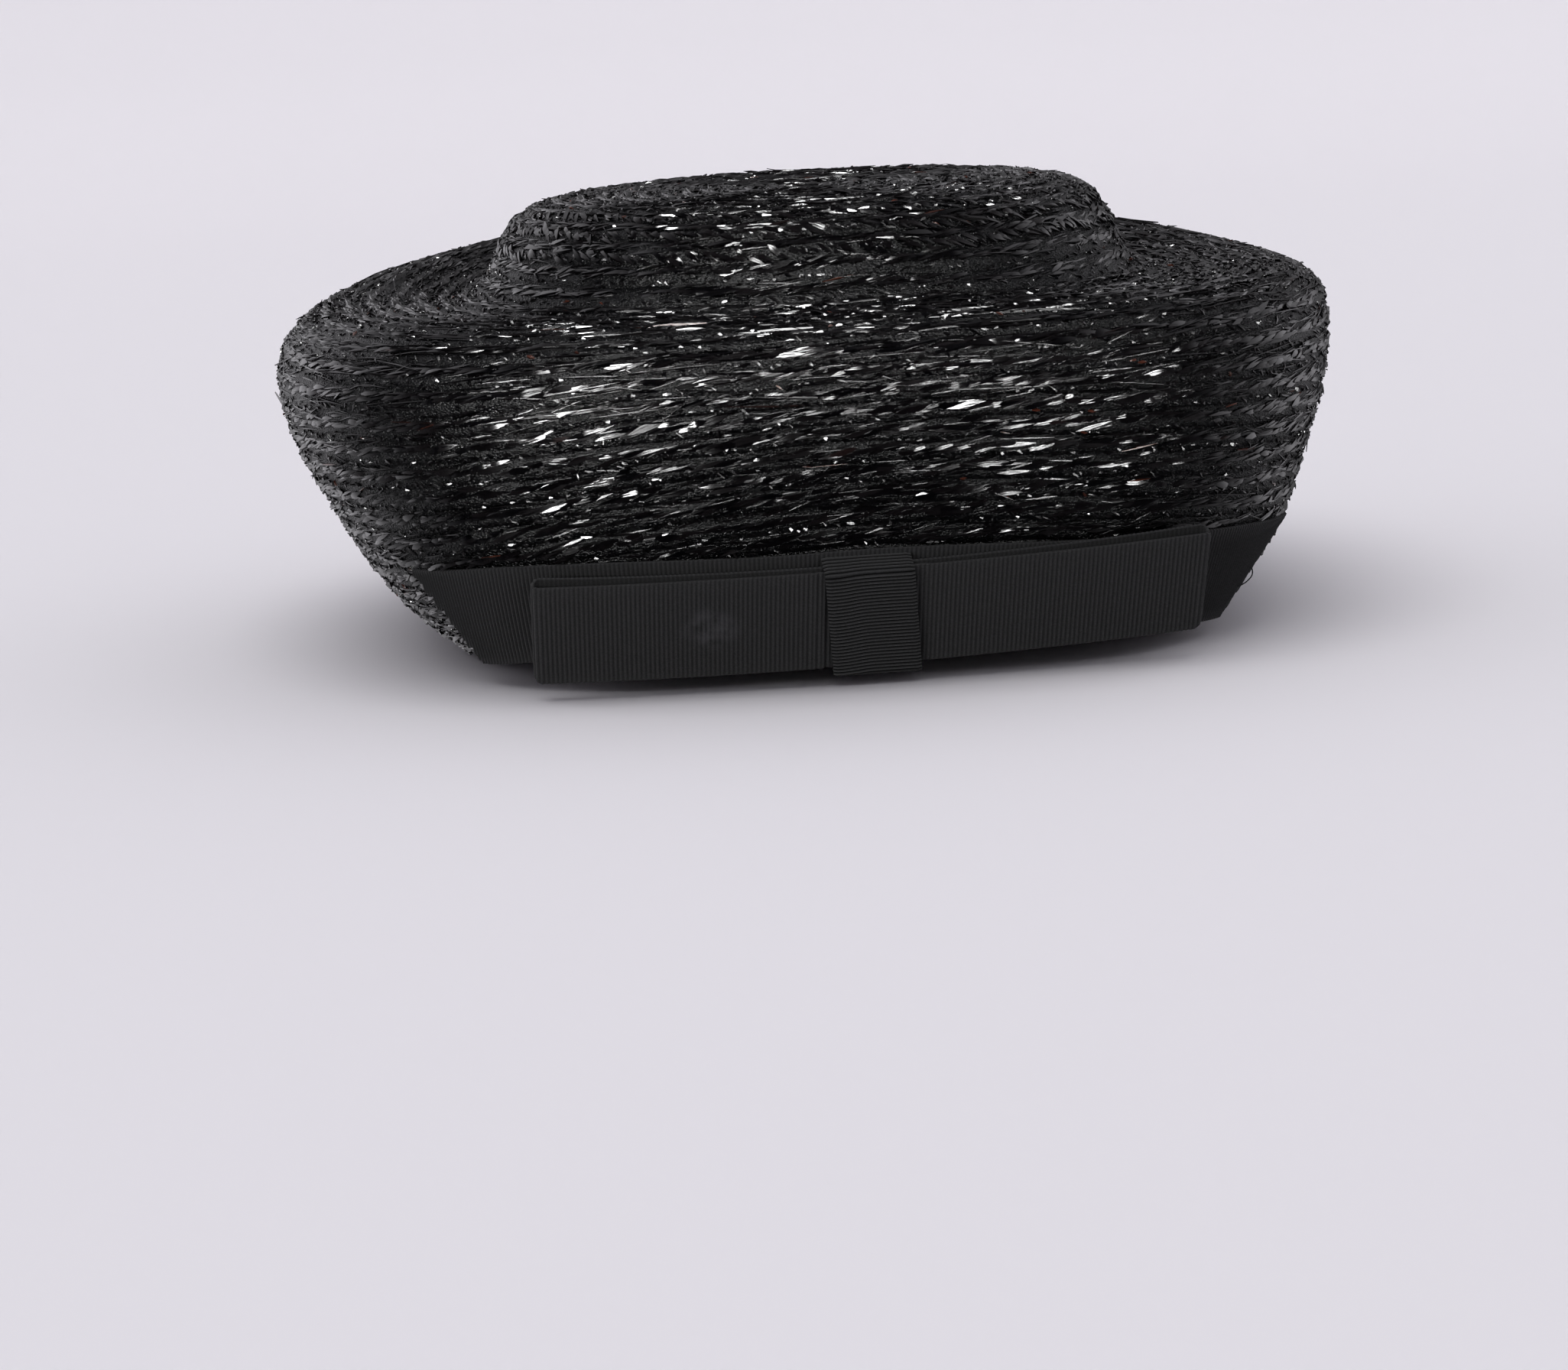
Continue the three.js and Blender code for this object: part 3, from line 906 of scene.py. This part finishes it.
levels = np.linspace(0, 1, 61)
crossings = np.stack([np.interp(places, sideways(fan, level), fan) for level in levels])
ends = BAND_ENDS_LOW + (BAND_ENDS_TOP - BAND_ENDS_LOW) * levels[:, None]
beyond = (crossings < ends[:, :1]) | (crossings > ends[:, 1:])
beyond[-1] = False
feet = np.where(beyond.any(0), levels[60 - np.argmax(beyond[::-1], axis=0)], 0.0)
teeth = np.random.default_rng(11).uniform(-0.045, 0.045, rib_count)
columns = []
for rib in range(rib_count):
    foot = float(feet[rib * 4:rib * 4 + 4].min())
    if foot > 0:
        foot = float(np.clip(foot + teeth[rib], 0, 0.97))
    heights = foot + (1 - foot) * np.linspace(0, 1, BAND_ACROSS + 1)
    for step, relief in enumerate(RIB_STEPS):
        azimuths = np.array([np.interp(h, levels, crossings[:, rib * 4 + step]) for h in heights])
        to_edge = np.minimum(heights - foot, 1 - heights) * RIBBON_WIDTH
        clear = CLEARANCE * np.clip((azimuths - CLEAR_FROM) / CLEAR_OVER, 0, 1)
        lift = BAND_STAND_OFF + clear + RIB_RELIEF * relief * rib_fade(to_edge)
        columns.append(band_point(azimuths, heights) + band_normal(azimuths, heights) * lift[:, None])
band = cloth_grid("band_cloth", np.array(columns), ribs=np.tile(RIB_STEPS, rib_count))
turn_to_front(band)
thicken(band, RIBBON_THICKNESS)
print("band:", rib_count, "ribs,", round(band_length / MM), "mm long at its top edge")

# %% [markdown]
# ## The bow
# The bow is one strip of the same ribbon, folded at both ends into two flat loops. It could be
# two loops, but one closed grid that runs along the front, round a fold, along the back and
# round the other fold keeps the ribs going as they do on cloth. Its corners are rounded off
# where the cloth is folded.

# %% Bow
bow_low, bow_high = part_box("bow")
BOW_LEAN = math.radians(56.5)
BOW_BEND_RADIUS = 440 * MM
BOW_ROLL = 0.0175
BOW_LIFT = 1.3 * MM
BOW_MIDDLE = Vector((3.6 * MM, -102.8 * MM, 15.2 * MM))
BOW_HALF_LENGTH = (bow_high.x - bow_low.x) / 2
BOW_OPEN_MIDDLE, BOW_OPEN_END = 0.75 * MM, 1.4 * MM
BOW_ACROSS = 14
BOW_THICKNESS = 0.55 * MM


def bow_frame(along):
    """The bow's middle plane: a point, its outward normal, and the directions up and along it."""
    turn = math.asin(along / BOW_BEND_RADIUS)
    point = BOW_MIDDLE + Vector((
        along,
        BOW_BEND_RADIUS * (1 - math.cos(turn)),
        BOW_ROLL * along + BOW_LIFT * (along / BOW_HALF_LENGTH) ** 2,
    ))
    up = Vector((0, -math.cos(BOW_LEAN), math.sin(BOW_LEAN)))
    normal = Vector((math.cos(turn), math.sin(turn), BOW_ROLL)).cross(up).normalized()
    return point, normal, up, up.cross(normal).normalized()


def corner_trim(along, side, edge):
    """How much the cloth's edge draws in where it is folded."""
    radius = {(1, 1): 1.2, (1, -1): 2.2, (-1, 1): 1.0, (-1, -1): 1.2}[(side, edge)] * MM
    reach = max(0.0, side * along - (BOW_HALF_LENGTH - radius)) / radius
    return radius * (1 - math.sqrt(max(0.0, 1 - min(reach, 1) ** 2)))


def bow_route():
    straight = BOW_HALF_LENGTH - BOW_OPEN_END
    fine = RIB_PITCH / 4
    route = []
    for side in (1, -1):
        count = int(round(2 * straight / RIB_PITCH)) * 4
        for along in np.linspace(-side * straight, side * straight, count + 1):
            point, normal, up, _ = bow_frame(float(along))
            opening = BOW_OPEN_MIDDLE + (BOW_OPEN_END - BOW_OPEN_MIDDLE) * (along / straight) ** 2
            route.append((point + normal * side * opening, normal * side, up, float(along), side))
        point, normal, up, length = bow_frame(side * straight)
        folds = int(math.pi * BOW_OPEN_END / fine)
        folds += -folds % 4
        for angle in np.linspace(0, math.pi, folds + 1)[1:-1]:
            out = normal * side * math.cos(angle) + length * side * math.sin(angle)
            along = side * (straight + BOW_OPEN_END * math.sin(angle))
            route.append((point + out * BOW_OPEN_END, out, up, along, 0))
    return route


# %% Grid of the bow
bow_rows = []
for k, (centre, out, up, along, face) in enumerate(bow_route()):
    row = []
    side = 1 if along > 0 else -1
    high = RIBBON_WIDTH / 2 - corner_trim(along, side, 1)
    low = -RIBBON_WIDTH / 2 + corner_trim(along, side, -1)
    for height in np.linspace(low, high, BOW_ACROSS + 1):
        fade = rib_fade(min(height - low, high - height))
        pleat = 0.0
        if face == 1:
            pinch = abs(along) - 8.5 * MM
            pleat = -0.30 * MM * math.exp(-(pinch / (1.6 * MM)) ** 2)
            if along < 0:
                pleat += 0.16 * MM * math.exp(-(pinch / (4 * MM)) ** 2) * math.cos(pinch / (0.28 * MM))
        relief = RIB_RELIEF * RIB_STEPS[k % 4] * fade + pleat
        row.append(tuple(centre + up * height + out * (BOW_THICKNESS / 2 + relief)))
    bow_rows.append(row)
bow_rows.append(bow_rows[0])
bow = cloth_grid("bow_loops", np.array(bow_rows), closed=True, ribs=rib_heights(bow_rows))
inside_out = sum((p.center - BOW_MIDDLE).dot(p.normal) for p in bow.data.polygons) < 0
if inside_out:
    edit_whole(bow, bpy.ops.mesh.flip_normals)
thicken(bow, BOW_THICKNESS)
print("bow:", [round(v / MM, 1) for v in bow.dimensions], "mm")

# %% [markdown]
# ## The knot
# A narrower strip goes round the bow's middle, so its ribs lie level. The cloth isn't quite
# square under the hand's pull, and its ribs sag to the left.

# %% Knot
KNOT_WIDTH = 17.5 * MM
KNOT_ACROSS = 20
KNOT_TOP, KNOT_TOP_STAND_OFF = 24.6 * MM, 1.35 * MM
KNOT_BELOW_RIM, KNOT_RIM_STAND_OFF = 2.3 * MM, 0.75 * MM
KNOT_SHIFT, KNOT_SLANT, KNOT_SAG = -0.4 * MM, -0.1, 0.9 * MM

_, knot_out, knot_up, _ = bow_frame(0.0)
front = BOW_OPEN_MIDDLE + 1.2 * MM
top_at = Vector(skin_point(np.array(0.0), np.array(KNOT_TOP)))
top_out = Vector(skin_normal(np.array(0.0), np.array(KNOT_TOP)))
low_at = Vector(skin_point(np.array(0.0), np.array(0.3 * MM)))
low_run = (Vector(skin_point(np.array(0.0), np.array(4 * MM))) - low_at).normalized()
low_out = Vector(skin_normal(np.array(0.0), np.array(2 * MM)))
knot_start = top_at + top_out * KNOT_TOP_STAND_OFF
knot_end = low_at - low_run * KNOT_BELOW_RIM + low_out * KNOT_RIM_STAND_OFF


def on_bow(point):
    height = (point - BOW_MIDDLE).dot(knot_up)
    return BOW_MIDDLE + knot_out * front + knot_up * height


def rounded(corners, radius, step):
    """A line through corners, each rounded, as points at equal steps."""
    line = [corners[0]]
    for before, corner, after in zip(corners, corners[1:], corners[2:]):
        a = corner + (before - corner).normalized() * min(radius, (before - corner).length / 2)
        b = corner + (after - corner).normalized() * min(radius, (after - corner).length / 2)
        line += [a.lerp(corner, t).lerp(corner.lerp(b, t), t) for t in np.linspace(0, 1, 9)]
    line.append(corners[-1])
    run = np.r_[0, np.cumsum([(b - a).length for a, b in zip(line, line[1:])])]
    count = int(round(run[-1] / step))
    at = np.linspace(0, run[-1], count + 1)
    return np.stack([np.interp(at, run, [p[i] for p in line]) for i in range(3)], -1), run[-1]


# %% Grid of the knot
knot_line, knot_length = rounded(
    [knot_start, on_bow(knot_start), on_bow(knot_end), knot_end], 0.9 * MM, 0.88 * MM / 4
)
ahead = np.gradient(knot_line, axis=0)
outward = np.stack([np.zeros(len(ahead)), ahead[:, 2], -ahead[:, 1]], -1)
outward /= np.linalg.norm(outward, axis=-1, keepdims=True)
knot_rows = []
for k, (centre, out) in enumerate(zip(knot_line, outward)):
    row = []
    for share in np.linspace(-0.5, 0.5, KNOT_ACROSS + 1):
        hang = 1 / (1 + math.exp((share + 0.22) / 0.07))
        slide = -KNOT_SAG * hang * math.sin(math.pi * k / (len(knot_line) - 1)) ** 0.5
        tangent = ahead[k] / np.linalg.norm(ahead[k])
        edge = 0.5 - abs(share)
        turn_in = 0.25 * MM * max(0.0, 1 - edge / 0.045) ** 2
        middle = BOW_MIDDLE.x + KNOT_SHIFT + KNOT_SLANT * (centre[2] - BOW_MIDDLE.z)
        at = centre + out * (0.22 * MM + RIB_RELIEF * 1.15 * RIB_STEPS[k % 4] - turn_in) - tangent * slide
        row.append((middle + share * KNOT_WIDTH, at[1], at[2]))
    knot_rows.append(row)
knot = cloth_grid("knot_strip", np.array(knot_rows), ribs=rib_heights(knot_rows))
turn_to_front(knot)
thicken(knot, RIBBON_THICKNESS)
print("knot:", [round(v / MM, 1) for v in knot.dimensions], "mm")

# %% [markdown]
# ## A loose thread
# A thread has come out of the cut at the band's right end and curls under it. It is a thin tube
# round a line: a small ring at each of the line's points, shrunk to nothing at both ends.

# %% Thread
THREAD_RADIUS = 0.13 * MM
THREAD_BENDS = [(0, 0), (1.2, -0.7), (1.1, -2.3), (-0.6, -3.8), (-2.4, -4.4), (-3.9, -4.3)]
THREAD_AZIMUTH, THREAD_FORWARD = math.radians(51.5), 1.6 * MM

thread_start = Vector(band_point(THREAD_AZIMUTH, 0.50)) - Vector((0, THREAD_FORWARD, 0))
camera_right, camera_up = aimed.col[0], aimed.col[1]
bends = [thread_start + (camera_right * a + camera_up * b) * MM for a, b in THREAD_BENDS]
thread_line, thread_length = rounded(bends, 0.9 * MM, 0.2 * MM)
thread_rows = []
for k, (centre, ahead_way) in enumerate(zip(thread_line, np.gradient(thread_line, axis=0))):
    first = Vector(ahead_way).cross(back).normalized()
    second = Vector(ahead_way).normalized().cross(first)
    size = 0.0 if k in (0, len(thread_line) - 1) else THREAD_RADIUS
    thread_rows.append([
        Vector(centre) + (first * math.cos(turn) + second * math.sin(turn)) * size
        for turn in np.linspace(0, 2 * math.pi, 7)
    ])
thread = cloth_grid("loose_thread", np.array(thread_rows), closed=True)
edit_whole(thread, bpy.ops.mesh.normals_make_consistent, inside=False)
print("thread:", round(thread_length / MM, 1), "mm long,", len(thread.data.polygons), "faces")

# %% [markdown]
# ## Matt black ribbon
# The ribbon is a soft black that swallows light, with a faint fuzz. A fine noise breaks up the
# colour and the surface as threads do, and there is a faint dusty mark on the bow's left loop.
# Every point of the three grids knows the height of its rib. From it the grooves get painted shade and the
# rib tops painted light, in the colour and in the specular and sheen, most of all on the knot.

# %% Ribbon material
def ribbon_material(name, painted_groove_shade=0.78, dust_at=None):
    material = bpy.data.materials.new(name)
    material.use_nodes = True
    nodes, links = material.node_tree.nodes, material.node_tree.links
    shader = set_up(nodes["Principled BSDF"], Roughness=0.85, Sheen_Roughness=0.5)
    place = new_node(nodes, "TexCoord")
    threads = new_node(nodes, "TexNoise", Scale=2600, Detail=3.0)
    links.new(place.outputs["Object"], threads.inputs["Vector"])
    colours = new_node(nodes, "ValToRGB")
    colours.color_ramp.elements[0].position = 0.3
    colours.color_ramp.elements[0].color = (0.0048, 0.0048, 0.0054, 1)
    colours.color_ramp.elements[1].position = 0.75
    colours.color_ramp.elements[1].color = (0.0135, 0.0135, 0.015, 1)
    links.new(threads.outputs["Fac"], colours.inputs["Fac"])
    rib = new_node(nodes, "Attribute", attribute_name="rib")
    # painted shade in the grooves and painted light on the rib tops: the rib height scales the colour from
    # the groove setting up to 1.4 times
    depth = new_node(nodes, "MapRange", From_Min=-1.0, To_Min=painted_groove_shade, To_Max=1.4)
    shaded = new_node(nodes, "VectorMath", operation="SCALE")
    join(
        links,
        (rib, "Fac", depth, "Value"),
        (colours, "Color", shaded, 0),
        (depth, "Result", shaded, "Scale"),
    )
    # the same painted light and shade also scale the specular and the sheen
    for label, most in (("Specular IOR Level", 0.15), ("Sheen Weight", 0.045)):
        share = new_node(nodes, "Math", operation="MULTIPLY")
        share.inputs[1].default_value = most
        join(links, (depth, "Result", share, 0), (share, "Value", shader, label))
    colour = shaded.outputs["Vector"]
    if dust_at is not None:
        centre = new_node(nodes, "Mapping", Location=[-v for v in dust_at])
        away = new_node(nodes, "VectorMath", operation="LENGTH")
        patch = new_node(
            nodes, "MapRange", From_Min=7 * MM, From_Max=1 * MM,
            interpolation_type="SMOOTHSTEP",
        )
        specks = new_node(nodes, "TexNoise", Scale=300, Detail=4.0)
        spots = new_node(nodes, "MapRange", From_Min=0.36, From_Max=0.70)
        amount = new_node(nodes, "Math", operation="MULTIPLY")
        mix = new_node(nodes, "Mix")
        mix.data_type = "RGBA"
        mix.inputs["B"].default_value = (0.05, 0.05, 0.055, 1)
        join(
            links,
            (place, "Object", centre, "Vector"),
            (centre, "Vector", away, 0),
            (away, "Value", patch, "Value"),
            (place, "Object", specks, "Vector"),
            (patch, "Result", amount, 0),
            (specks, "Fac", spots, "Value"),
            (spots, "Result", amount, 1),
            (amount, "Value", mix, "Factor"),
        )
        links.new(colour, mix.inputs["A"])
        colour = mix.outputs["Result"]
    links.new(colour, shader.inputs["Base Color"])
    bump = new_node(nodes, "Bump", Distance=0.06 * MM, Strength=0.8)
    join(links, (threads, "Fac", bump, "Height"), (bump, "Normal", shader, "Normal"))
    return material


DUST_ALONG = -32 * MM
dust_point, dust_normal, _, _ = bow_frame(DUST_ALONG)
band_finish = ribbon_material("black_grosgrain")
bow_finish = ribbon_material("black_grosgrain_bow", dust_at=dust_point + dust_normal * 1.5 * MM)
# on the knot the grooves are painted fully black as shade
knot_finish = ribbon_material("black_grosgrain_knot", painted_groove_shade=0.0)
for piece, finish in ((band, band_finish), (bow, bow_finish), (knot, knot_finish), (thread, band_finish)):
    piece.data.materials.clear()
    piece.data.materials.append(finish)
    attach(piece, "root")
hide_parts("ribbon_band")
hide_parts("bow")
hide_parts("bow_knot")

# %% Finish
low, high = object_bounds()
print("visual box in mm:", [round(v / MM, 1) for v in (*low, *high)])
